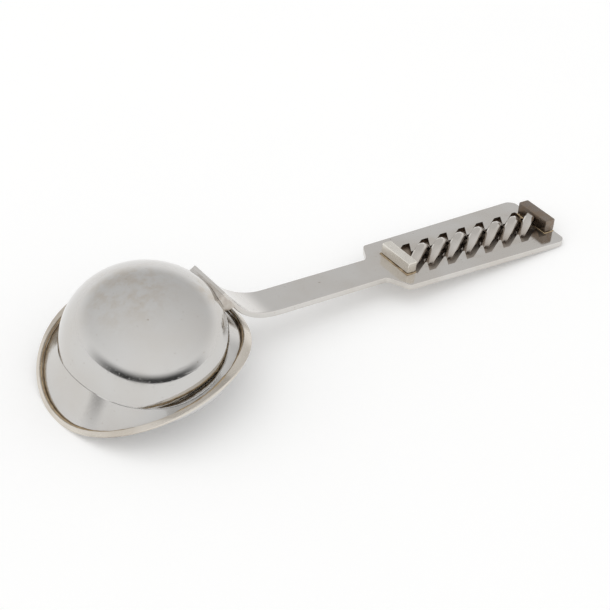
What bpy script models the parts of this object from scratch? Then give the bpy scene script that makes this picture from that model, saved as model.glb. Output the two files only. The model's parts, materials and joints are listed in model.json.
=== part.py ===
"""Silver sauce ladle lying upside down: soldered bowl, bent strap handle, twisted ornament on the handle plate.

Metres, +Z up, the table is z = 0. +X runs along the handle to its tip, and the part is centred on the origin.
"""

import math

import bmesh
import bpy
from mathutils import Matrix, Vector

MM = 0.001

# Sizes shared by every piece.
SOLDER_GAP = 0.3 * MM
SHEET = 1.0 * MM
BOWL_TO_TIP = 137.1 * MM

# The crease is the oval line where the dome meets the brim.
CREASE_RADIUS = 23.3 * MM
CREASE_OVAL = 1.7 * MM
CREASE_HEIGHT = 13.2 * MM
CREASE_PITCH = math.radians(9.3)
CREASE_LIFT = 2.0 * MM
DOME_TOP = 33.3 * MM

# The rim is the brim's outer edge: low at the front and back, raised into a pouring lip on each side.
BRIM_WIDTH = 5.4 * MM
RIM_RADIUS = CREASE_RADIUS + BRIM_WIDTH
RIM_OVAL = 0.7 * MM
RIM_FULLNESS = 0.6 * MM
RIM_PITCH = math.radians(12.1)
RIM_SIDE_LIFT = 3.4 * MM
BRIM_SAG = 0.2 * MM
REST_FLAT = 0.5 * MM
BAND_WIDTH = 2.1 * MM
BAND_TAPER = 0.6 * MM
BAND_THICKNESS = 0.8 * MM
BAND_OVERHANG = 1.2 * MM
BAND_EDGE = 0.2 * MM

# The strap is one strip: plate, shoulders, stem, bend and the land soldered to the dome.
STRAP_THICKNESS = 1.9 * MM
STRAP_EDGE = 0.3 * MM
PLATE_LENGTH = 56.8 * MM
PLATE_TIP_WIDTH = 25.6 * MM
PLATE_INNER_WIDTH = 23.4 * MM
TIP_CORNER = 3.0 * MM
TIP_FLAT = 0.15 * MM
SHOULDER_LENGTH = 4.8 * MM
STEM_WIDTH = 10.6 * MM
LAND_WIDTH = 15.2 * MM
LAND_LENGTH = 7.4 * MM
LAND_THICKNESS = 1.1 * MM
LAND_SLOPE = math.radians(56.5)
BEND_RADIUS = 22.0 * MM
BEND_OVER_RIM = 0.93 * MM

# Blocks at the ends of the ornament, both lying across the plate.
ORNAMENT_SHIFT = -0.6 * MM
BLOCK_LENGTH = 12.6 * MM
BLOCK_EDGE = 0.35 * MM
TIP_BLOCK_INSET = 0.4 * MM
TIP_BLOCK_THICKNESS = 3.5 * MM
TIP_BLOCK_RISE = 4.1 * MM
BOWL_BLOCK_FROM_TIP = 52.3 * MM
BOWL_BLOCK_THICKNESS = 3.1 * MM
BOWL_BLOCK_RISE = 3.7 * MM

# Twisted bars between the blocks. Each is an arch that leans along the handle as it crosses it.
BAR_COUNT = 7
BAR_RADIUS = 1.4 * MM
BAR_ARCH_HALF_WIDTH = 2.4 * MM
BAR_ARCH_HEIGHT = 3.1 * MM
BAR_CREST = 5.2 * MM
BAR_ADVANCE = 0.42
FIRST_CREST = 0.88
BAR_FILED = 0.35 * MM
BAR_REACH = math.radians(100)

# The sunk ground under the bars, with a tapering notch on both sides for each bar.
GROUND_DEPTH = 1.1 * MM
NOTCH_START = 3.4 * MM
NOTCH_END = 7.3 * MM
NOTCH_END_WIDTH = 2.4 * MM
NOTCH_LEAN = 1.05
TOOTH_TIP = 0.85 * MM

# How finely round stretches are divided.
BOWL_SEGMENTS = 72
DOME_RINGS = 32
BRIM_ROWS = 5
BEND_STEPS = 14
CORNER_STEPS = 6
SHOULDER_STEPS = 10
BAR_STEPS = 24
BAR_SIDES = 3

SILVER = (0.82, 0.81, 0.79)
WARM_SILVER = (0.78, 0.74, 0.68)

for old in list(bpy.data.objects):
    bpy.data.objects.remove(old, do_unlink=True)


def new_collection(name, cutters=False):
    made = bpy.data.collections.new(name)
    bpy.context.scene.collection.children.link(made)
    made.hide_render = cutters
    return made


LADLE = new_collection("ladle")
CUTTERS = new_collection("cutters", cutters=True)


def new_object(name, bm, colour=None, roughness=0.2, frame=None):
    """Turns a bmesh into a named object: a piece with its own metal, or a cutter when no colour is given."""
    bmesh.ops.recalc_face_normals(bm, faces=bm.faces)
    mesh = bpy.data.meshes.new(name)
    bm.to_mesh(mesh)
    bm.free()
    obj = bpy.data.objects.new(name, mesh)
    if frame:
        obj.matrix_world = frame
    if colour is None:
        CUTTERS.objects.link(obj)
        obj.display_type = "WIRE"
        obj.hide_render = True
        return obj
    LADLE.objects.link(obj)
    metal = bpy.data.materials.new(name)
    metal.use_nodes = True
    shader = metal.node_tree.nodes["Principled BSDF"]
    shader.inputs["Base Color"].default_value = (*colour, 1)
    shader.inputs["Metallic"].default_value = 1
    shader.inputs["Roughness"].default_value = roughness
    mesh.materials.append(metal)
    return obj


def thicken(obj, thickness, side):
    """Gives an open surface its thickness on one side: 1 along its normals, -1 against them."""
    shell = obj.modifiers.new("thickness", "SOLIDIFY")
    shell.thickness = thickness
    shell.offset = side
    shell.use_even_offset = True
    return shell


def soften(obj, width, segments=2):
    edge = obj.modifiers.new("edges", "BEVEL")
    edge.width = width
    edge.segments = segments
    edge.limit_method = "ANGLE"
    edge.angle_limit = math.radians(50)


def combine(obj, other, operation):
    step = obj.modifiers.new(operation.lower(), "BOOLEAN")
    step.operation = operation
    step.solver = "EXACT"
    step.object = other


def box(low, high):
    bm = bmesh.new()
    size = Vector(high) - Vector(low)
    middle = (Vector(high) + Vector(low)) / 2
    bmesh.ops.create_cube(bm, size=1, matrix=Matrix.Translation(middle) @ Matrix.Diagonal((*size, 1)))
    return bm


def mesh_of(curve):
    """Takes a curve's evaluated mesh as a bmesh with its caps welded, and removes the curve."""
    maker = bpy.data.objects.new("maker", curve)
    CUTTERS.objects.link(maker)
    bpy.context.view_layer.update()
    mesh = bpy.data.meshes.new_from_object(maker.evaluated_get(bpy.context.evaluated_depsgraph_get()))
    bm = bmesh.new()
    bm.from_mesh(mesh)
    bmesh.ops.remove_doubles(bm, verts=bm.verts, dist=0.001 * MM)
    bpy.data.objects.remove(maker, do_unlink=True)
    bpy.data.meshes.remove(mesh)
    bpy.data.curves.remove(curve)
    return bm


def ease(part):
    """Smooth step from 0 to 1."""
    part = min(max(part, 0), 1)
    return part * part * (3 - 2 * part)


# Bowl forms. Angle 0 points along the handle, and lengths are measured from the bowl's own axis.
def crease(angle):
    radius = CREASE_RADIUS - CREASE_OVAL * math.cos(2 * angle)
    rise = math.tan(CREASE_PITCH) * radius * math.cos(angle) + CREASE_LIFT * math.cos(2 * angle)
    return Vector((radius, CREASE_HEIGHT + rise))


def rim_radius(angle):
    return RIM_RADIUS - RIM_OVAL * math.cos(2 * angle) + RIM_FULLNESS * math.cos(3 * angle)


def rim_rise(angle):
    return math.tan(RIM_PITCH) * rim_radius(angle) * math.cos(angle) - RIM_SIDE_LIFT * math.cos(2 * angle)


def rim(angle):
    """Middle of the band's outer edge. Its lowest point, at the front, is set by the table."""
    return Vector((rim_radius(angle), rim_rise(angle) - rim_rise(math.pi)))


def brim_line(angle):
    """Start, run, length and outward normal of the brim's straight section at one angle."""
    start = crease(angle) - Vector((0, SOLDER_GAP))
    run = rim(angle) - start
    normal = Vector((-run.y, run.x)).normalized()
    run -= (SOLDER_GAP + BAND_THICKNESS / 2) * normal
    run += Vector((0, BAND_DROP))
    return start, run, run.length, Vector((-run.y, run.x)).normalized()


def brim(angle, part, offset=0.0):
    start, run, _, normal = brim_line(angle)
    return start + part * run + (offset - BRIM_SAG * 4 * part * (1 - part)) * normal


def band(angle, part, offset):
    """A point of the rim band: part 0 is its inner edge and part 1 its outer edge."""
    width = BAND_WIDTH + BAND_TAPER * math.cos(angle)
    return brim(angle, 1 - (1 - part) * width / brim_line(angle)[2], SOLDER_GAP + offset)


# The band is first placed with no drop, then lowered until its front edge stands a rest flat's depth in the table.
BAND_DROP = 0.0
BAND_DROP = -REST_FLAT - band(math.pi, 1, 0).y
FRONT_REACH = band(math.pi, 1, BAND_THICKNESS).x
BOWL_X = (FRONT_REACH - BOWL_TO_TIP) / 2
TIP_X = BOWL_X + BOWL_TO_TIP


def placed(angle, section):
    return Vector((BOWL_X + section.x * math.cos(angle), section.x * math.sin(angle), section.y))


def dome_point(angle, climb):
    foot = crease(angle)
    return Vector((foot.x * math.cos(climb), foot.y + (DOME_TOP - foot.y) * math.sin(climb)))


# What lies below the table is cut away, which leaves the part a small flat at the rim and at the tip.
below_table = box((-BOWL_TO_TIP, -BOWL_TO_TIP, -BOWL_TO_TIP), (BOWL_TO_TIP, BOWL_TO_TIP, 0))
TABLE = new_object("table_cutter", below_table)


def make_dome():
    bm = bmesh.new()
    bmesh.ops.create_uvsphere(bm, u_segments=BOWL_SEGMENTS, v_segments=DOME_RINGS, radius=1)
    lower = [vert for vert in bm.verts if vert.co.z < -0.01]
    bmesh.ops.delete(bm, geom=lower, context="VERTS")
    for vert in bm.verts:
        angle = math.atan2(vert.co.y, vert.co.x)
        vert.co = placed(angle, dome_point(angle, math.asin(min(max(vert.co.z, 0), 1))))
    dome = new_object("bowl_dome", bm, SILVER, 0.16)
    thicken(dome, SHEET, -1)


def ring_strip(rows, section):
    """An open ring, pressed from a plain cylinder: section gives the point at an angle and a part of its height."""
    bm = bmesh.new()
    bmesh.ops.create_cone(bm, cap_ends=False, segments=BOWL_SEGMENTS, radius1=1, radius2=1, depth=1)
    upright = [edge for edge in bm.edges if abs(edge.verts[0].co.z - edge.verts[1].co.z) > 0.5]
    bmesh.ops.subdivide_edges(bm, edges=upright, cuts=rows - 1, use_grid_fill=True)
    for vert in bm.verts:
        angle = math.atan2(vert.co.y, vert.co.x)
        vert.co = placed(angle, section(angle, 0.5 - vert.co.z))
    return bm


def make_brim():
    def collar_section(angle, part):
        return brim(angle, part * (1 - BAND_OVERHANG / brim_line(angle)[2]))

    collar = new_object("bowl_collar", ring_strip(BRIM_ROWS, collar_section), SILVER, 0.2)
    thicken(collar, SHEET, -1)
    edge = new_object("rim_band", ring_strip(2, lambda angle, part: band(angle, part, 0)), WARM_SILVER, 0.3)
    thicken(edge, BAND_THICKNESS, 1)
    soften(edge, BAND_EDGE)
    combine(edge, TABLE, "DIFFERENCE")


# Handle path: the tip lies on the table, the bend clears the rim band at the back and the land lies on the dome.
def bend_centre():
    """Centre of the bend of the strap's under side, in X and Z."""
    out = Vector((math.sin(LAND_SLOPE), math.cos(LAND_SLOPE)))
    along = Vector((-math.cos(LAND_SLOPE), math.sin(LAND_SLOPE)))
    wall = [dome_point(0, math.radians(step)) + Vector((BOWL_X, 0)) for step in range(91)]
    touch = max(point.dot(out) for point in wall) + SOLDER_GAP
    edge = []
    for step in range(-8, 9):
        angle = LAND_WIDTH / RIM_RADIUS * step / 16
        for part in (0, 0.5, 1):
            point = placed(angle, band(angle, part, BAND_THICKNESS))
            edge.append(Vector((point.x, point.z)))
    low = max(point.dot(along) for point in edge)
    high = low + 2 * BEND_RADIUS
    for _ in range(40):
        middle = (low + high) / 2
        centre = out * (touch + BEND_RADIUS) + along * middle
        if min((centre - point).length for point in edge) < BEND_RADIUS + BEND_OVER_RIM:
            low = middle
        else:
            high = middle
    return centre


BEND_CENTRE = bend_centre()
TO_CENTRE = BEND_CENTRE - Vector((TIP_X, -TIP_FLAT))
HANDLE_SLOPE = math.atan2(TO_CENTRE.x, TO_CENTRE.y) + math.acos(BEND_RADIUS / TO_CENTRE.length)
HANDLE = Matrix.Translation((TIP_X, 0, -TIP_FLAT)) @ Matrix.Rotation(HANDLE_SLOPE, 4, "Y")
STRAIGHT = TO_CENTRE.dot(Vector((-math.cos(HANDLE_SLOPE), math.sin(HANDLE_SLOPE))))
BEND_LENGTH = BEND_RADIUS * (LAND_SLOPE - HANDLE_SLOPE)
STRAP_LENGTH = STRAIGHT + BEND_LENGTH + LAND_LENGTH


def strap_point(run):
    """Point of the strap's under side at a distance from the tip, in X and Z."""
    slope = HANDLE_SLOPE + (min(max(run, STRAIGHT), STRAIGHT + BEND_LENGTH) - STRAIGHT) / BEND_RADIUS
    point = BEND_CENTRE - BEND_RADIUS * Vector((math.sin(slope), math.cos(slope)))
    beyond = min(run - STRAIGHT, 0) + max(run - STRAIGHT - BEND_LENGTH, 0)
    return point + beyond * Vector((-math.cos(slope), math.sin(slope)))


def strap_half_width(run):
    plate = PLATE_TIP_WIDTH + (PLATE_INNER_WIDTH - PLATE_TIP_WIDTH) * run / PLATE_LENGTH
    if run < TIP_CORNER:
        plate -= 2 * (TIP_CORNER - math.sqrt(TIP_CORNER**2 - (TIP_CORNER - run) ** 2))
    if run < PLATE_LENGTH:
        return plate / 2
    width = PLATE_INNER_WIDTH + (STEM_WIDTH - PLATE_INNER_WIDTH) * ease((run - PLATE_LENGTH) / SHOULDER_LENGTH)
    return (width + (LAND_WIDTH - STEM_WIDTH) * ease((run - STRAIGHT) / (BEND_LENGTH + LAND_LENGTH))) / 2


def strap_stations():
    """Distances from the tip where the strap's section is set, closer together where its shape turns."""
    corner = [TIP_CORNER * (1 - math.cos(math.pi / 2 * step / CORNER_STEPS)) for step in range(CORNER_STEPS + 1)]
    shoulder = [PLATE_LENGTH + SHOULDER_LENGTH * step / SHOULDER_STEPS for step in range(SHOULDER_STEPS + 1)]
    bend = [STRAIGHT + BEND_LENGTH * step / BEND_STEPS for step in range(BEND_STEPS + 1)]
    land = [STRAP_LENGTH - LAND_LENGTH / 2, STRAP_LENGTH]
    return corner + shoulder + bend + land


def make_strap():
    stations = strap_stations()
    last = len(stations) - 1
    bm = bmesh.new()
    weights = bm.verts.layers.deform.verify()
    bmesh.ops.create_grid(bm, x_segments=last, y_segments=1, size=1)
    for vert in bm.verts:
        run = stations[last - round((vert.co.x + 1) / 2 * last)]
        point = strap_point(run)
        vert.co = (point.x, math.copysign(strap_half_width(run), vert.co.y), point.y)
        vert[weights][0] = 1 - ease((run - STRAIGHT) / (STRAP_LENGTH - STRAIGHT))
    bmesh.ops.dissolve_limit(bm, angle_limit=math.radians(0.5), verts=bm.verts, edges=bm.edges)
    strap = new_object("handle_strap", bm, SILVER, 0.22)
    full = strap.vertex_groups.new(name="full thickness")
    shell = thicken(strap, STRAP_THICKNESS, 1)
    shell.vertex_group = full.name
    shell.thickness_vertex_group = LAND_THICKNESS / STRAP_THICKNESS
    soften(strap, STRAP_EDGE)
    combine(strap, TABLE, "DIFFERENCE")
    return strap


# Ornament, in the handle's own frame: X back from the tip, Z up from the strap's under side.
BLOCK_INNER = -BOWL_BLOCK_FROM_TIP
TIP_INNER = -TIP_BLOCK_INSET - TIP_BLOCK_THICKNESS
BAR_PITCH = (TIP_INNER - BLOCK_INNER) / BAR_COUNT
GROUND = STRAP_THICKNESS - GROUND_DEPTH


def make_block(name, low, high, rise, roughness):
    half = BLOCK_LENGTH / 2
    bm = box(
        (low, ORNAMENT_SHIFT - half, STRAP_THICKNESS + SOLDER_GAP),
        (high, ORNAMENT_SHIFT + half, STRAP_THICKNESS + rise),
    )
    block = new_object(name, bm, WARM_SILVER, roughness, HANDLE)
    soften(block, BLOCK_EDGE)


def crest(index):
    return BLOCK_INNER + (index + FIRST_CREST) * BAR_PITCH


def sink_ground(strap):
    """Cuts the notched ground out of the plate, between the two blocks."""
    base = BAR_PITCH - TOOTH_TIP
    sheet = bmesh.new()
    rows = []
    for away in (-NOTCH_END, -NOTCH_START, NOTCH_START, NOTCH_END):
        width = base if abs(away) == NOTCH_START else NOTCH_END_WIDTH
        row = []
        for index in range(-2, BAR_COUNT + 2):
            middle = crest(index) + NOTCH_LEAN * away
            for x in (middle - width / 2, middle + width / 2):
                row.append(sheet.verts.new((x, ORNAMENT_SHIFT + away, GROUND)))
        rows.append(row)
    for near, far, step in ((rows[0], rows[1], 2), (rows[1], rows[2], 1), (rows[2], rows[3], 2)):
        for left in range(0, len(near) - 1, step):
            sheet.faces.new((near[left], near[left + 1], far[left + 1], far[left]))
    for face_x, outward in ((BLOCK_INNER, -1), (TIP_INNER, 1)):
        every = sheet.verts[:] + sheet.edges[:] + sheet.faces[:]
        bmesh.ops.bisect_plane(
            sheet, geom=every, plane_co=(face_x, 0, 0), plane_no=(outward, 0, 0), clear_outer=True
        )
    raised = bmesh.ops.extrude_face_region(sheet, geom=sheet.faces[:])["geom"]
    raised = [item for item in raised if isinstance(item, bmesh.types.BMVert)]
    bmesh.ops.translate(sheet, verts=raised, vec=(0, 0, STRAP_THICKNESS))
    combine(strap, new_object("ground_cutter", sheet, frame=HANDLE), "DIFFERENCE")


def make_bars():
    reach = PLATE_TIP_WIDTH
    room = box(
        (BLOCK_INNER + SOLDER_GAP, -reach, GROUND + SOLDER_GAP),
        (TIP_INNER - SOLDER_GAP, reach, BAR_CREST),
    )
    room = new_object("bar_room", room, frame=HANDLE)
    axis = BAR_CREST + BAR_FILED - BAR_RADIUS - BAR_ARCH_HEIGHT
    for index in range(BAR_COUNT):
        path = []
        for step in range(BAR_STEPS + 1):
            turn = BAR_REACH * (2 * step / BAR_STEPS - 1)
            path.append(
                (
                    crest(index) + BAR_ADVANCE * BAR_PITCH * turn,
                    ORNAMENT_SHIFT + BAR_ARCH_HALF_WIDTH * math.sin(turn),
                    axis + BAR_ARCH_HEIGHT * math.cos(turn),
                )
            )
        wire = bpy.data.curves.new("bar", "CURVE")
        wire.dimensions = "3D"
        spline = wire.splines.new("POLY")
        spline.points.add(BAR_STEPS)
        for knot, point in zip(spline.points, path):
            knot.co = (*point, 1)
        wire.bevel_depth = BAR_RADIUS
        wire.bevel_resolution = BAR_SIDES
        wire.use_fill_caps = True
        bar = new_object(f"twist_bar_{index + 1}", mesh_of(wire), SILVER, 0.22, HANDLE)
        combine(bar, room, "INTERSECT")


make_dome()
make_brim()
handle_strap = make_strap()
sink_ground(handle_strap)
make_block("bowl_end_block", BLOCK_INNER - BOWL_BLOCK_THICKNESS, BLOCK_INNER, BOWL_BLOCK_RISE, 0.24)
make_block("tip_end_block", TIP_INNER, -TIP_BLOCK_INSET, TIP_BLOCK_RISE, 0.3)
make_bars()
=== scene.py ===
"""Finish and studio of a silver sauce ladle lying upside down, laid out as a Blender add-on."""

import json
import math

import bpy
from mathutils import Matrix, Vector
from mathutils.bvhtree import BVHTree
from mathutils.noise import noise


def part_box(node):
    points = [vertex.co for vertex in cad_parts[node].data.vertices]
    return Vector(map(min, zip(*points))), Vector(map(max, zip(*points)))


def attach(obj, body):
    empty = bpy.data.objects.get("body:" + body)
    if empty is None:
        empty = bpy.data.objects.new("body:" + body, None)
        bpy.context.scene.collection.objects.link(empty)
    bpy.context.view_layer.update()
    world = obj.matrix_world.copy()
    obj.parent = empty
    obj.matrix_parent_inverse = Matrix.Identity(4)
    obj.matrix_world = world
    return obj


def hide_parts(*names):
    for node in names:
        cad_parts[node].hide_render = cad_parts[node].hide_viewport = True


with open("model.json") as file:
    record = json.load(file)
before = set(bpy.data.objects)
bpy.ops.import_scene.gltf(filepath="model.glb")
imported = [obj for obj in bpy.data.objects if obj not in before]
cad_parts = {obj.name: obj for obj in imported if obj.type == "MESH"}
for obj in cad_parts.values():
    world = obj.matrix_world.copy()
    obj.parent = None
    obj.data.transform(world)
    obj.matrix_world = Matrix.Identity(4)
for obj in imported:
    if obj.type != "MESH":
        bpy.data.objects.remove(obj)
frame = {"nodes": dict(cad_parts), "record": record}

bl_info = {
    "name": "Silver Sauce Ladle",
    "version": (1, 0, 0),
    "blender": (4, 5, 0),
    "location": "View3D > Sidebar > Ladle",
    "description": "Finishes a soldered silver sauce ladle and sets up its studio",
    "category": "Object",
}

MM = 0.001

# The handle's own directions come from the mount on the plate's under side.
PLATE = frame["record"]["mounts"][0]
PLATE_POINT = Vector(PLATE["pos_m"])
PLATE_UP = -Vector(PLATE["axis"])
PLATE_ALONG = Vector((PLATE_UP.z, 0, -PLATE_UP.x))
PLATE_TOP = 1.9 * MM

# The strap's land lies on the dome at this slope.
LAND_SLOPE = math.radians(56.5)

BARS = [f"twist_bar_{number}" for number in range(1, 8)]
BLOCKS = ["bowl_end_block", "tip_end_block"]


def colour_property(name, description, default):
    return bpy.props.FloatVectorProperty(
        name=name, description=description, default=default, subtype="COLOR", size=3, min=0, max=1
    )


def length_property(name, description, default):
    return bpy.props.FloatProperty(name=name, description=description, default=default, min=0, unit="LENGTH")


def share_property(name, description, default):
    return bpy.props.FloatProperty(
        name=name, description=description, default=default, min=0, max=1, subtype="FACTOR"
    )


def power_property(name, description, default):
    return bpy.props.FloatProperty(name=name, description=description, default=default, min=0, unit="POWER")


def angle_property(name, description, degrees):
    return bpy.props.FloatProperty(
        name=name, description=description, default=math.radians(degrees), subtype="ANGLE"
    )


class LadleFinish(bpy.types.PropertyGroup):
    """Colours and polish of the metal."""

    silver: colour_property("Silver", "Clean polished silver of the bowl", (0.61, 0.6, 0.585))
    plate: colour_property("Handle silver", "Silver of the strap, a little warmer", (0.68, 0.66, 0.635))
    bars: colour_property("Twist silver", "Silver of the twisted bars", (0.62, 0.595, 0.565))
    band: colour_property("Band silver", "Warm silver of the rim band", (0.72, 0.675, 0.61))
    block: colour_property("Block silver", "Silver of the block at the bowl end", (0.87, 0.84, 0.78))
    tarnish: colour_property("Tarnish", "Warm bloom on handled silver", (0.5, 0.435, 0.355))
    solder: colour_property("Solder", "Gold tone of the solder", (0.5, 0.38, 0.23))
    scorch: colour_property("Scorch", "Brown that the torch leaves beside a seam", (0.23, 0.155, 0.095))
    oxide: colour_property("Oxide", "Dark ground on the far side of the twist", (0.3, 0.245, 0.195))
    # Brown of the bars' foot: real tarnish low on the bars, also used as painted shade there and on the bars'
    # tip-facing sides.
    foot: colour_property("Twist foot", "Brown tarnish low on the twisted bars", (0.25, 0.2, 0.16))
    ground: colour_property("Ground", "Duller ground on the near side of the twist", (0.46, 0.42, 0.375))
    tip: colour_property("Tip block silver", "Tarnished silver of the block at the tip", (0.23, 0.195, 0.168))
    polish: share_property("Polish", "Roughness of the polished silver", 0.06)
    dull: share_property("Dull polish", "Roughness of blocks and solder", 0.3)
    uneven: length_property("Unevenness", "How far the raised surface strays from true", 0.12 * MM)


class LadleSeams(bpy.types.PropertyGroup):
    """Sizes of the solder seams and of the twist."""

    rim: length_property("Rim seam", "Radius of the solder bead along the rim band", 0.27 * MM)
    block: length_property("Block seam", "Radius of the solder bead round each block", 0.26 * MM)
    land: length_property("Land fillet", "How far solder spreads from the strap's end", 0.45 * MM)
    swell: length_property("Twist fullness", "How far the bars bulge into their solder", 0.35 * MM)
    lean: length_property("Twist lean", "How far the bars' far ends lean towards the tip", 0.7 * MM)
    bow: length_property("Twist bow", "How far the ends of the bars trail towards the bowl", 0.3 * MM)
    taper: share_property("Twist taper", "How much thinner the bars are at their near ends", 0.08)
    ragged: share_property("Raggedness", "How much the seams vary in width", 0.35)


class LadleStage(bpy.types.PropertyGroup):
    """Floor, light and camera."""

    floor: colour_property("Floor", "Pale floor", (0.93, 0.93, 0.925))
    fill: power_property("Fill light", "Power of the lamp overhead", 1.5)
    key: power_property("Key light", "Power of the lamp behind", 0.6)
    room: share_property("Room light", "Brightness of the room that the silver mirrors", 0.84)
    slant: share_property("Room slant", "How much brighter the room is behind the camera", 0.18)
    lift: share_property("Floor lift", "Light added to the floor as the camera and the silver see it", 0.16)
    cove: share_property("Cove", "Rise at which the pale sweep behind the floor ends, 1 being overhead", 0.4)
    wall: share_property("Low wall", "Tone of the room low behind the camera, as a share", 0.06)
    wall_top: share_property("Low wall height", "Rise at which that low wall ends, 1 being overhead", 0.26)
    lens: bpy.props.FloatProperty(name="Lens", description="Focal length", default=110.77, unit="CAMERA")
    azimuth: angle_property("Azimuth", "Camera angle round the ladle", 35.2)
    elevation: angle_property("Elevation", "Camera angle above the floor", 36.2)
    roll: angle_property("Roll", "Camera turn about its own axis", 1.1)
    distance: length_property("Distance", "From the aim point to the camera", 0.53024)
    aim: bpy.props.FloatVectorProperty(
        name="Aim", description="Point that the camera looks at", default=(0.00056, 0.00484, 0), unit="LENGTH"
    )


# Node helpers. A socket is linked and anything else is set as the input's value.
def feed(tree, target, value):
    if isinstance(value, bpy.types.NodeSocket):
        tree.links.new(value, target)
    elif isinstance(value, (tuple, list)) and target.type == "RGBA" and len(value) == 3:
        target.default_value = (*value, 1)
    else:
        target.default_value = value


def put(tree, kind, settings=None, **inputs):
    made = tree.nodes.new("ShaderNode" + kind)
    for name, value in (settings or {}).items():
        setattr(made, name, value)
    for name, value in inputs.items():
        feed(tree, made.inputs[name.replace("_", " ")], value)
    return made


def sums(tree, operation, *values):
    made = put(tree, "Math", {"operation": operation})
    for target, value in zip(made.inputs, values):
        feed(tree, target, value)
    return made.outputs[0]


def step(tree, value, start, end, to=(0, 1)):
    """Smooth step of a value from start to end."""
    made = put(tree, "MapRange", {"interpolation_type": "SMOOTHSTEP"})
    for target, item in zip(made.inputs, (value, start, end, *to)):
        feed(tree, target, item)
    return made.outputs[0]


def blend(tree, factor, first, second, kind="RGBA"):
    made = put(tree, "Mix", {"data_type": kind})
    pair = (6, 7) if kind == "RGBA" else (2, 3)
    feed(tree, made.inputs[0], factor)
    feed(tree, made.inputs[pair[0]], first)
    feed(tree, made.inputs[pair[1]], second)
    return made.outputs[2 if kind == "RGBA" else 0]


def cloud(tree, coords, scale, detail=2.0, roughness=0.5):
    return put(tree, "TexNoise", Vector=coords, Scale=scale, Detail=detail, Roughness=roughness).outputs[0]


def worn_silver():
    """Shared finish of every piece: smudges, tarnish clouds, fine scratches and a hand-raised surface."""
    if "worn silver" in bpy.data.node_groups:
        return bpy.data.node_groups["worn silver"]
    finish = bpy.context.scene.ladle_finish
    tree = bpy.data.node_groups.new("worn silver", "ShaderNodeTree")
    for name, kind in (("Silver", "Color"), ("Tarnish", "Float"), ("Polish", "Float"), ("Uneven", "Float")):
        tree.interface.new_socket(name, in_out="INPUT", socket_type="NodeSocket" + kind)
    for name, kind in (("Color", "Color"), ("Roughness", "Float"), ("Height", "Float")):
        tree.interface.new_socket(name, in_out="OUTPUT", socket_type="NodeSocket" + kind)
    given = tree.nodes.new("NodeGroupInput").outputs
    coords = put(tree, "TexCoord").outputs["Object"]
    strokes = put(tree, "Mapping", Vector=coords, Rotation=(0.2, 0.1, 0.7), Scale=(90, 2400, 2400)).outputs[0]
    scratch = step(tree, cloud(tree, strokes, 1, 1), 0.63, 0.74)
    smudge = step(tree, cloud(tree, coords, 95, 4, 0.6), 0.4, 0.66)
    bloom = sums(tree, "MULTIPLY", step(tree, cloud(tree, coords, 48, 3), 0.38, 0.66), given["Tarnish"])
    colour = blend(tree, bloom, given["Silver"], tuple(finish.tarnish))
    speck = step(tree, cloud(tree, coords, 900, 2), 0.7, 0.78)
    colour = blend(tree, sums(tree, "MULTIPLY", speck, 0.35), colour, tuple(finish.scorch))
    rough = sums(tree, "MULTIPLY_ADD", smudge, 0.06, given["Polish"])
    rough = sums(tree, "MULTIPLY_ADD", scratch, 0.1, rough)
    height = sums(tree, "MULTIPLY", cloud(tree, coords, 62, 0), given["Uneven"])
    height = sums(tree, "MULTIPLY_ADD", scratch, -0.002 * MM, height)
    height = sums(tree, "MULTIPLY_ADD", cloud(tree, coords, 1500, 1), 0.0006 * MM, height)
    result = tree.nodes.new("NodeGroupOutput")
    for name, value in (("Color", colour), ("Roughness", rough), ("Height", height)):
        tree.links.new(value, result.inputs[name])
    return tree


def silver(name, colour, tarnish, polish, uneven, stains=()):
    """A silver material. Each stain is a function that gives a mask, a colour and a roughness."""
    metal = bpy.data.materials.new(name)
    metal.use_nodes = True
    tree = metal.node_tree
    shader = tree.nodes["Principled BSDF"]
    worn = put(tree, "Group", {"node_tree": worn_silver()})
    for target, value in zip(worn.inputs, (tuple(colour), tarnish, polish, uneven)):
        feed(tree, target, value)
    tone = worn.outputs["Color"]
    rough = worn.outputs["Roughness"]
    for stain in stains:
        mask, stain_tone, stain_rough = stain(tree)
        tone = blend(tree, mask, tone, stain_tone)
        rough = blend(tree, mask, rough, stain_rough, "FLOAT")
    bump = put(tree, "Bump", Height=worn.outputs["Height"], Distance=1.0, Strength=1.0)
    feed(tree, shader.inputs["Base Color"], tone)
    feed(tree, shader.inputs["Roughness"], rough)
    feed(tree, shader.inputs["Normal"], bump.outputs[0])
    shader.inputs["Metallic"].default_value = 1
    return metal


def along(tree, axis, zero):
    """Distance of the shaded point along an axis, from a point."""
    coords = put(tree, "TexCoord").outputs["Object"]
    reach = put(tree, "VectorMath", {"operation": "DOT_PRODUCT"})
    feed(tree, reach.inputs[0], coords)
    feed(tree, reach.inputs[1], tuple(axis))
    return sums(tree, "SUBTRACT", reach.outputs["Value"], axis.dot(zero))


def inside(tree, value, low, high, soft):
    rise = step(tree, value, low - soft, low + soft)
    return sums(tree, "MULTIPLY", rise, step(tree, value, high - soft, high + soft, (1, 0)))


def plate_span(*names):
    """Lowest and highest reading of some CAD nodes along the handle, across it and up from its under side."""
    points = []
    for name in names:
        for vert in frame["nodes"][name].data.vertices:
            away = vert.co - PLATE_POINT
            points.append((away.dot(PLATE_ALONG), vert.co.y, away.dot(PLATE_UP)))
    return [(min(column), max(column)) for column in zip(*points)]


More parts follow.
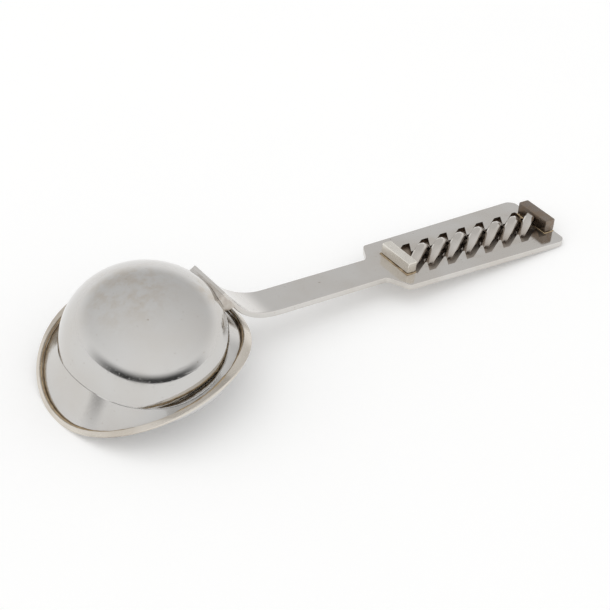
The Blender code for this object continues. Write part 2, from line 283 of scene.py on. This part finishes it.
def sunk_ground(tree):
    """Ground and notch walls under the twist, dark with oxide on the far side."""
    finish = bpy.context.scene.ladle_finish
    span = plate_span(*BARS)
    side = (span[1][0] + span[1][1]) / 2
    depth = inside(tree, along(tree, PLATE_UP, PLATE_POINT), 0.5 * MM, 1.72 * MM, 0.12 * MM)
    width = inside(tree, along(tree, Vector((0, 1, 0)), Vector((0, side, 0))), -7.8 * MM, 7.8 * MM, 0.2 * MM)
    length = inside(tree, along(tree, PLATE_ALONG, PLATE_POINT), span[0][0] - MM, span[0][1] + MM, 0.3 * MM)
    mask = sums(tree, "MULTIPLY", sums(tree, "MULTIPLY", depth, width), length)
    far = step(tree, along(tree, Vector((0, 1, 0)), Vector((0, side, 0))), -1.5 * MM, 2.5 * MM)
    return mask, blend(tree, far, tuple(finish.ground), tuple(finish.oxide)), 0.4


def plate_bloom(tree):
    """Warm stain on the plate close to the twist and the blocks."""
    finish = bpy.context.scene.ladle_finish
    coords = put(tree, "TexCoord").outputs["Object"]
    span = plate_span(*BLOCKS)
    reach = along(tree, Vector((0, 1, 0)), Vector((0, sum(span[1]) / 2, 0)))
    width = inside(tree, reach, -7.5 * MM, 7.5 * MM, 1.6 * MM)
    length = inside(tree, along(tree, PLATE_ALONG, PLATE_POINT), span[0][0] - MM, span[0][1] + MM, MM)
    patch = step(tree, cloud(tree, coords, 260, 3), 0.36, 0.7)
    mask = sums(tree, "MULTIPLY", sums(tree, "MULTIPLY", width, length), patch)
    return sums(tree, "MULTIPLY", mask, 0.35), tuple(finish.tarnish), 0.25


def foot_tarnish_and_shade(start, end, share):
    """Brown low on a bar, fading between two heights, which is real tarnish and partly painted shade low on
    the bar near the sunk ground, and painted shade over the bar's side that faces the tip.
    """

    def stain(tree):
        finish = bpy.context.scene.ladle_finish
        coords = put(tree, "TexCoord").outputs["Object"]
        height = along(tree, PLATE_UP, PLATE_POINT)
        height = sums(tree, "MULTIPLY_ADD", cloud(tree, coords, 500, 2), 0.3 * MM, height)
        low = step(tree, height, start, end, (1, 0))
        # Painted shade on the side of the bar that faces the tip, read from the normals that swell stores.
        lee = put(tree, "Attribute", {"attribute_name": "lee"}).outputs["Fac"]
        mask = sums(tree, "MAXIMUM", sums(tree, "MULTIPLY", low, 0.8), step(tree, lee, 0.25, 0.85))
        return sums(tree, "MULTIPLY", mask, share), tuple(finish.foot), 0.3

    return stain


def scorched(share):
    """Brown patches that the torch left."""

    def stain(tree):
        finish = bpy.context.scene.ladle_finish
        coords = put(tree, "TexCoord").outputs["Object"]
        patch = step(tree, cloud(tree, coords, 420, 3, 0.6), 0.42, 0.66)
        return sums(tree, "MULTIPLY", patch, share), tuple(finish.scorch), 0.38

    return stain


def beside_seam(share, colour):
    """Stain that a piece's solder attribute holds: 1 at the seam and 0 away from it."""

    def stain(tree):
        coords = put(tree, "TexCoord").outputs["Object"]
        near = put(tree, "Attribute", {"attribute_name": "solder"}).outputs["Fac"]
        ragged = sums(tree, "MULTIPLY_ADD", cloud(tree, coords, 520, 3, 0.6), 0.7, near)
        mask = sums(tree, "MULTIPLY", step(tree, ragged, 0.75, 1.2), near)
        return sums(tree, "MULTIPLY", mask, share), colour, 0.32

    return stain


def warm_patch(centre, reach, share):
    """Faint tarnish round one point."""

    def stain(tree):
        finish = bpy.context.scene.ladle_finish
        coords = put(tree, "TexCoord").outputs["Object"]
        away = put(tree, "VectorMath", {"operation": "DISTANCE"})
        feed(tree, away.inputs[0], coords)
        feed(tree, away.inputs[1], centre)
        mask = step(tree, away.outputs["Value"], reach * 0.2, reach, (1, 0))
        mask = sums(tree, "MULTIPLY", mask, step(tree, cloud(tree, coords, 240, 5, 0.68), 0.38, 0.66))
        return sums(tree, "MULTIPLY", mask, share), tuple(finish.tarnish), 0.22

    return stain


# Modelling helpers.
def pick(piece):
    bpy.ops.object.select_all(action="DESELECT")
    piece.select_set(True)
    bpy.context.view_layer.objects.active = piece


def cad_copy(name):
    """A merged copy of a CAD node with its own mesh."""
    mesh = frame["nodes"][name].data.copy()
    mesh.materials.clear()
    piece = bpy.data.objects.new(name + "_finish", mesh)
    bpy.context.scene.collection.objects.link(piece)
    pick(piece)
    bpy.ops.mesh.customdata_custom_splitnormals_clear()
    bpy.ops.object.mode_set(mode="EDIT")
    bpy.ops.mesh.select_all(action="SELECT")
    bpy.ops.mesh.remove_doubles(threshold=0.002 * MM)
    bpy.ops.object.mode_set(mode="OBJECT")
    return piece


def to_quads(piece):
    pick(piece)
    bpy.ops.object.mode_set(mode="EDIT")
    bpy.ops.mesh.select_all(action="SELECT")
    bpy.ops.mesh.tris_convert_to_quads()
    bpy.ops.object.mode_set(mode="OBJECT")


def join_flats(piece, angle):
    """Joins the facets of flat faces."""
    pick(piece)
    bpy.ops.object.mode_set(mode="EDIT")
    bpy.ops.mesh.select_all(action="SELECT")
    bpy.ops.mesh.dissolve_limited(angle_limit=math.radians(angle))
    bpy.ops.object.mode_set(mode="OBJECT")


def smooth(piece, angle):
    pick(piece)
    bpy.ops.object.shade_smooth_by_angle(angle=math.radians(angle))
    weighted = piece.modifiers.new("even shading", "WEIGHTED_NORMAL")
    weighted.keep_sharp = True
    bpy.ops.object.modifier_apply(modifier=weighted.name)


def keep(piece, metal, slot, *nodes):
    piece.data.materials.clear()
    piece.data.materials.append(metal)
    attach(piece, "root")
    if nodes:
        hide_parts(*nodes)


def mark_seam(piece, path, reach):
    """Stores how close every vertex lies to a seam: 1 on it and 0 at the reach."""
    near = piece.data.attributes.new("solder", "FLOAT", "POINT")
    for vert, item in zip(piece.data.vertices, near.data):
        item.value = max(1 - min((vert.co - point).length for point in path) / reach, 0)


def bowl_axis():
    low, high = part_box("bowl_dome")
    return (low[0] + high[0]) / 2


def seam_path(count=72):
    """Where the rim band's inner edge meets the brim, read from the CAD band at even angles."""
    found = [None] * count
    axis = bowl_axis()
    for vert in frame["nodes"]["rim_band"].data.vertices:
        out = Vector((vert.co.x - axis, vert.co.y))
        place = round(math.atan2(out.y, out.x) / math.tau * count) % count
        if found[place] is None or out.length < found[place][0]:
            found[place] = (out.length, vert.co.copy())
    if None in found:
        raise RuntimeError("the rim band has no point at one of the seam's angles")
    return [point for _, point in found]


def bead(name, segments, route, radius, ragged):
    """A closed solder bead: a torus laid along a route that gives a point, outward way and up at an angle."""
    bpy.ops.object.select_all(action="DESELECT")
    bpy.ops.mesh.primitive_torus_add(
        major_segments=segments, minor_segments=10, major_radius=1, minor_radius=0.25
    )
    piece = bpy.context.object
    piece.name = name
    piece.data.name = name
    for vert in piece.data.vertices:
        turn = math.atan2(vert.co.y, vert.co.x)
        side = math.atan2(vert.co.z, math.hypot(vert.co.x, vert.co.y) - 1)
        point, out, up = route(turn)
        width = radius * (1 + ragged * noise(point / (1.6 * MM)) + ragged * noise(point / (6 * MM)))
        vert.co = point + width * (1.15 * math.cos(side) * out + math.sin(side) * up)
    pick(piece)
    bpy.ops.object.mode_set(mode="EDIT")
    bpy.ops.mesh.select_all(action="SELECT")
    bpy.ops.mesh.normals_make_consistent(inside=False)
    bpy.ops.object.mode_set(mode="OBJECT")
    bpy.ops.object.shade_smooth()
    return piece


class LADLE_OT_bowl(bpy.types.Operator):
    """Finishes the dome and the flared brim below it"""

    bl_idname = "ladle.bowl"
    bl_label = "Bowl"

    def execute(self, context):
        finish = context.scene.ladle_finish
        dome = cad_copy("bowl_dome")
        to_quads(dome)
        smooth(dome, 40)
        axis = bowl_axis()
        stains = (
            warm_patch((axis - 4 * MM, 0.0, 33 * MM), 18 * MM, 0.5),
            warm_patch((axis + 16 * MM, -6 * MM, 26 * MM), 9 * MM, 0.6),
        )
        metal = silver("dome_silver", finish.silver, 0.16, finish.polish, finish.uneven, stains)
        keep(dome, metal, "dome_silver", "bowl_dome")
        brim = cad_copy("bowl_collar")
        to_quads(brim)
        mark_seam(brim, seam_path(), 2.2 * MM)
        smooth(brim, 40)
        stains = (beside_seam(0.22, tuple(finish.scorch)),)
        metal = silver("brim_silver", finish.silver, 0.2, finish.polish + 0.04, finish.uneven, stains)
        keep(brim, metal, "brim_silver", "bowl_collar")
        return {"FINISHED"}


class LADLE_OT_rim_band(bpy.types.Operator):
    """Finishes the applied band along the rim"""

    bl_idname = "ladle.rim_band"
    bl_label = "Rim band"

    def execute(self, context):
        finish = context.scene.ladle_finish
        band = cad_copy("rim_band")
        mark_seam(band, seam_path(), 1.3 * MM)
        smooth(band, 30)
        stains = (beside_seam(0.6, tuple(finish.solder)),)
        metal = silver("band_silver", finish.band, 0.5, finish.polish + 0.12, finish.uneven / 2, stains)
        keep(band, metal, "band_silver", "rim_band")
        return {"FINISHED"}


class LADLE_OT_handle(bpy.types.Operator):
    """Finishes the bent strap with its dark sunk ground"""

    bl_idname = "ladle.handle"
    bl_label = "Handle strap"

    def execute(self, context):
        finish = context.scene.ladle_finish
        strap = cad_copy("handle_strap")
        join_flats(strap, 0.2)
        smooth(strap, 35)
        stains = (plate_bloom, sunk_ground)
        metal = silver("strap_silver", finish.plate, 0.25, finish.polish + 0.03, finish.uneven * 0.6, stains)
        keep(strap, metal, "strap_silver", "handle_strap")
        return {"FINISHED"}


class LADLE_OT_blocks(bpy.types.Operator):
    """Finishes the two blocks that close the ornament"""

    bl_idname = "ladle.blocks"
    bl_label = "End blocks"

    def execute(self, context):
        finish = context.scene.ladle_finish
        for name, colour, share in zip(BLOCKS, (finish.block, finish.tip), (0.06, 0.45)):
            stains = (scorched(share),)
            metal = silver(name + "_silver", colour, 0.2, finish.dull - 0.04, finish.uneven / 2, stains)
            block = cad_copy(name)
            join_flats(block, 0.2)
            smooth(block, 40)
            keep(block, metal, "block_silver", name)
        return {"FINISHED"}


class LADLE_OT_twist(bpy.types.Operator):
    """Finishes the seven bars of the rope twist"""

    bl_idname = "ladle.twist"
    bl_label = "Twisted bars"

    def swell(self, bar, reach):
        """Lets a bar bulge sideways and down into its solder, most at its foot, and keeps its filed top."""
        top = max((vert.co - PLATE_POINT).dot(PLATE_UP) for vert in bar.data.vertices)
        # Stores how far each vertex faces the tip, which the bars' material paints as shade.
        lee = bar.data.attributes.new("lee", "FLOAT", "POINT")
        ways = [vert.normal.copy() for vert in bar.data.vertices]
        for vert, way, shade in zip(bar.data.vertices, ways, lee.data):
            shade.value = max(way.dot(PLATE_ALONG), 0)
            low = 1 - (vert.co - PLATE_POINT).dot(PLATE_UP) / top
            vert.co += reach * (0.8 + low) * (way - max(way.dot(PLATE_UP), 0) * PLATE_UP)

    def bow(self, bar, seams):
        """Leans and bows a bar in plan and thins its near end, and stops it short of the tip block."""
        stop = plate_span("tip_end_block")[0][0] - 0.05 * MM
        across = [vert.co.y for vert in bar.data.vertices]
        middle = (min(across) + max(across)) / 2
        half = (max(across) - min(across)) / 2
        reach = [(vert.co - PLATE_POINT).dot(PLATE_ALONG) for vert in bar.data.vertices]
        centre = (min(reach) + max(reach)) / 2
        parts = [(y - middle) / half for y in across]
        slope = sum(p * (r - centre) for p, r in zip(parts, reach)) / sum(p * p for p in parts)
        for vert, part, along_bar in zip(bar.data.vertices, parts, reach):
            off_axis = along_bar - centre - slope * part
            thin = seams.taper * max(-part, 0) * off_axis
            shift = seams.lean * part - seams.bow * part * part - thin
            vert.co += min(shift, stop - along_bar) * PLATE_ALONG

    def execute(self, context):
        finish = context.scene.ladle_finish
        seams = context.scene.ladle_seams
        # The bars' brown foot is real tarnish with painted shade low on the bars and over their tip-facing
        # sides.
        stains = (foot_tarnish_and_shade(1.2 * MM, 4.8 * MM, 0.85),)
        metal = silver("twist_silver", finish.bars, 0.25, finish.polish + 0.02, finish.uneven / 2, stains)
        for name in BARS:
            bar = cad_copy(name)
            self.swell(bar, seams.swell)
            self.bow(bar, seams)
            smooth(bar, 32)
            keep(bar, metal, "twist_silver", name)
        return {"FINISHED"}


class LADLE_OT_seams(bpy.types.Operator):
    """Adds the solder along the rim band, round the blocks and at the strap's end on the dome"""

    bl_idname = "ladle.seams"
    bl_label = "Solder seams"

    def execute(self, context):
        finish = context.scene.ladle_finish
        seams = context.scene.ladle_seams
        gold = silver("solder_gold", finish.solder, 0.2, finish.dull, 0, (scorched(0.6),))
        pale = silver("solder_pale", finish.plate, 0.5, finish.dull, 0, (scorched(0.25),))
        path = seam_path()
        axis = Vector((bowl_axis(), 0, 0))

        def round_rim(turn):
            place = turn / math.tau * len(path)
            first = math.floor(place)
            point = path[first % len(path)].lerp(path[(first + 1) % len(path)], place - first)
            out = Vector((point.x - axis.x, point.y, 0)).normalized()
            return point, out, Vector((0, 0, 1))

        keep(bead("rim_seam", 216, round_rim, seams.rim, seams.ragged), gold, "band_silver")
        for name in BLOCKS:
            span = plate_span(name)
            middle = [sum(pair) / 2 for pair in span]
            half = [(pair[1] - pair[0]) / 2 for pair in span]
            origin = PLATE_POINT + middle[0] * PLATE_ALONG + PLATE_TOP * PLATE_UP
            origin.y = middle[1]

            def round_block(turn):
                way = Vector((math.cos(turn), math.sin(turn)))
                way /= max(abs(way.x), abs(way.y))
                out = Vector((PLATE_ALONG.x * way.x, way.y, PLATE_ALONG.z * way.x)).normalized()
                point = origin + half[0] * way.x * PLATE_ALONG + Vector((0, half[1] * way.y, 0))
                return point, out, PLATE_UP

            keep(bead(name + "_seam", 112, round_block, seams.block, seams.ragged), gold, "block_silver")
        self.fill_land(seams, pale)
        return {"FINISHED"}

    def fill_land(self, seams, metal):
        """Solder fillet from the strap's end and sides down to the dome."""
        strap = frame["nodes"]["handle_strap"].data.vertices
        dome = frame["nodes"]["bowl_dome"].data
        corners = [vert.co for vert in dome.vertices]
        surface = BVHTree.FromPolygons(corners, [face.vertices for face in dome.polygons])
        end = min((vert.co for vert in strap), key=lambda point: point.x)
        half = max(abs(vert.co.y) for vert in strap if vert.co.x < end.x + 1.5 * MM)
        down = Vector((math.cos(LAND_SLOPE), 0, -math.sin(LAND_SLOPE)))
        lift = Vector((math.sin(LAND_SLOPE), 0, math.cos(LAND_SLOPE)))
        route = []
        for part in range(12):
            route.append((Vector((end.x, -half, end.z)) + down * (11 - part) * 0.6 * MM, Vector((0, -1, 0))))
        for part in range(25):
            side = part / 12 - 1
            outward = Vector((-down.x, side**5, -down.z)).normalized()
            route.append((Vector((end.x, half * side, end.z)), outward))
        for part in range(12):
            route.append((Vector((end.x, half, end.z)) + down * part * 0.6 * MM, Vector((0, 1, 0))))
        rows = 6
        bpy.ops.object.select_all(action="DESELECT")
        bpy.ops.mesh.primitive_grid_add(x_subdivisions=len(route) - 1, y_subdivisions=rows, size=2)
        piece = bpy.context.object
        piece.name = "land_seam"
        piece.data.name = "land_seam"
        for vert in piece.data.vertices:
            point, outward = route[round((vert.co.x + 1) / 2 * (len(route) - 1))]
            part = (vert.co.y + 1) / 2
            spread = seams.land * (1 + seams.ragged * noise(point / (2 * MM)))
            foot = surface.find_nearest(point + outward * spread)
            foot = foot[0] + 0.04 * MM * foot[1]
            top = point + lift * 0.45 * MM - outward * 0.15 * MM
            sag = (foot + top) / 2 - lift * 0.25 * MM
            vert.co = top.lerp(sag, part).lerp(sag.lerp(foot, part), part)
        pick(piece)
        bpy.ops.object.mode_set(mode="EDIT")
        bpy.ops.mesh.select_all(action="SELECT")
        bpy.ops.mesh.normals_make_consistent(inside=False)
        bpy.ops.object.mode_set(mode="OBJECT")
        body = piece.modifiers.new("thickness", "SOLIDIFY")
        body.thickness = 0.12 * MM
        body.offset = 0
        bpy.ops.object.modifier_apply(modifier=body.name)
        bpy.ops.object.shade_smooth_by_angle(angle=math.radians(50))
        keep(piece, metal, "dome_silver")


class LADLE_OT_stage(bpy.types.Operator):
    """Sets the floor, the studio light and the camera"""

    bl_idname = "ladle.stage"
    bl_label = "Stage"

    def execute(self, context):
        stage = context.scene.ladle_stage
        self.lay_floor(stage)
        self.light(stage)
        self.surround(context, stage)
        self.aim_camera(context, stage)
        context.scene.view_settings.view_transform = "Standard"
        return {"FINISHED"}

    def lay_floor(self, stage):
        bpy.ops.object.select_all(action="DESELECT")
        bpy.ops.mesh.primitive_plane_add(size=5)
        floor = bpy.context.object
        floor.name = "floor"
        paper = bpy.data.materials.new("floor_paper")
        paper.use_nodes = True
        tree = paper.node_tree
        shader = tree.nodes["Principled BSDF"]
        coords = put(tree, "TexCoord").outputs["Object"]
        tone = tuple(stage.floor)
        shade = blend(tree, cloud(tree, coords, 14, 3), tone, tuple(part * 0.985 for part in tone))
        feed(tree, shader.inputs["Base Color"], shade)
        rays = put(tree, "LightPath").outputs
        seen = sums(tree, "MAXIMUM", rays["Is Camera Ray"], rays["Is Glossy Ray"])
        seen = sums(tree, "MAXIMUM", seen, rays["Is Transmission Ray"])
        feed(tree, shader.inputs["Emission Color"], blend(tree, seen, (0, 0, 0), (stage.lift,) * 3))
        shader.inputs["Emission Strength"].default_value = 1
        shader.inputs["Roughness"].default_value = 0.9
        shader.inputs["Specular IOR Level"].default_value = 0.1
        floor.data.materials.append(paper)

    def towards_camera(self, stage):
        return Vector((-math.sin(stage.azimuth), -math.cos(stage.azimuth), 0))

    def lamp(self, name, place, size, power):
        bpy.ops.object.light_add(type="AREA", location=place)
        lamp = bpy.context.object
        lamp.name = name
        lamp.data.shape = "DISK"
        lamp.data.size = size
        lamp.data.energy = power
        lamp.rotation_euler = Vector(place).to_track_quat("Z", "Y").to_euler()
        lamp.visible_glossy = False

    def light(self, stage):
        self.lamp("fill_lamp", (0, 0, 1.5), 1.8, stage.fill)
        self.lamp("key_lamp", (-0.25, 0.95, 1.15), 0.6, stage.key)

    def surround(self, context, stage):
        """Soft room light, brighter behind the camera, where a low wall is dark."""
        world = bpy.data.worlds.new("studio")
        context.scene.world = world
        world.use_nodes = True
        tree = world.node_tree
        back = tree.nodes["Background"]
        way = put(tree, "TexCoord").outputs["Generated"]
        rise = put(tree, "SeparateXYZ", Vector=way).outputs["Z"]
        facing = put(tree, "VectorMath", {"operation": "DOT_PRODUCT"})
        feed(tree, facing.inputs[0], way)
        feed(tree, facing.inputs[1], tuple(self.towards_camera(stage)))
        facing = facing.outputs["Value"]
        tone = sums(tree, "MULTIPLY_ADD", facing, stage.slant, stage.room)
        tone = blend(tree, step(tree, rise, 0, stage.cove), 1.0, tone, "FLOAT")
        low = step(tree, rise, stage.wall_top / 4, stage.wall_top, (1, 0))
        wall = sums(tree, "MULTIPLY", step(tree, facing, 0, 0.85), low)
        shade = blend(tree, wall, 1.0, stage.wall, "FLOAT")
        feed(tree, back.inputs["Color"], sums(tree, "MULTIPLY", tone, shade))

    def aim_camera(self, context, stage):
        bpy.ops.object.camera_add()
        camera = bpy.context.object
        camera.data.lens = stage.lens
        camera.data.sensor_width = 36
        turn = Matrix.Rotation(-stage.azimuth, 4, "Z")
        turn @= Matrix.Rotation(math.pi / 2 - stage.elevation, 4, "X")
        turn @= Matrix.Rotation(stage.roll, 4, "Z")
        away = turn.to_3x3() @ Vector((0, 0, stage.distance))
        camera.matrix_world = Matrix.Translation(Vector(stage.aim) + away) @ turn
        context.scene.camera = camera


OPERATORS = (
    LADLE_OT_bowl,
    LADLE_OT_rim_band,
    LADLE_OT_handle,
    LADLE_OT_blocks,
    LADLE_OT_twist,
    LADLE_OT_seams,
    LADLE_OT_stage,
)
SETTINGS = {"ladle_finish": LadleFinish, "ladle_seams": LadleSeams, "ladle_stage": LadleStage}


class LADLE_PT_panel(bpy.types.Panel):
    """Lists the ladle's pieces and settings"""

    bl_idname = "LADLE_PT_panel"
    bl_label = "Sauce Ladle"
    bl_space_type = "VIEW_3D"
    bl_region_type = "UI"
    bl_category = "Ladle"

    def draw(self, context):
        for operator in OPERATORS:
            self.layout.operator(operator.bl_idname)
        for name in SETTINGS:
            settings = getattr(context.scene, name)
            box = self.layout.box()
            for item in settings.bl_rna.properties:
                if item.identifier not in {"name", "rna_type"}:
                    box.prop(settings, item.identifier)


def register():
    for settings in SETTINGS.values():
        bpy.utils.register_class(settings)
    for operator in OPERATORS:
        bpy.utils.register_class(operator)
    bpy.utils.register_class(LADLE_PT_panel)
    for name, settings in SETTINGS.items():
        setattr(bpy.types.Scene, name, bpy.props.PointerProperty(type=settings))


def unregister():
    for name in SETTINGS:
        delattr(bpy.types.Scene, name)
    bpy.utils.unregister_class(LADLE_PT_panel)
    for operator in reversed(OPERATORS):
        bpy.utils.unregister_class(operator)
    for settings in SETTINGS.values():
        bpy.utils.unregister_class(settings)


def main():
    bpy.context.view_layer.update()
    register()
    bpy.ops.ladle.bowl()
    bpy.ops.ladle.rim_band()
    bpy.ops.ladle.handle()
    bpy.ops.ladle.blocks()
    bpy.ops.ladle.twist()
    bpy.ops.ladle.seams()
    bpy.ops.ladle.stage()


if __name__ == "__main__":
    main()
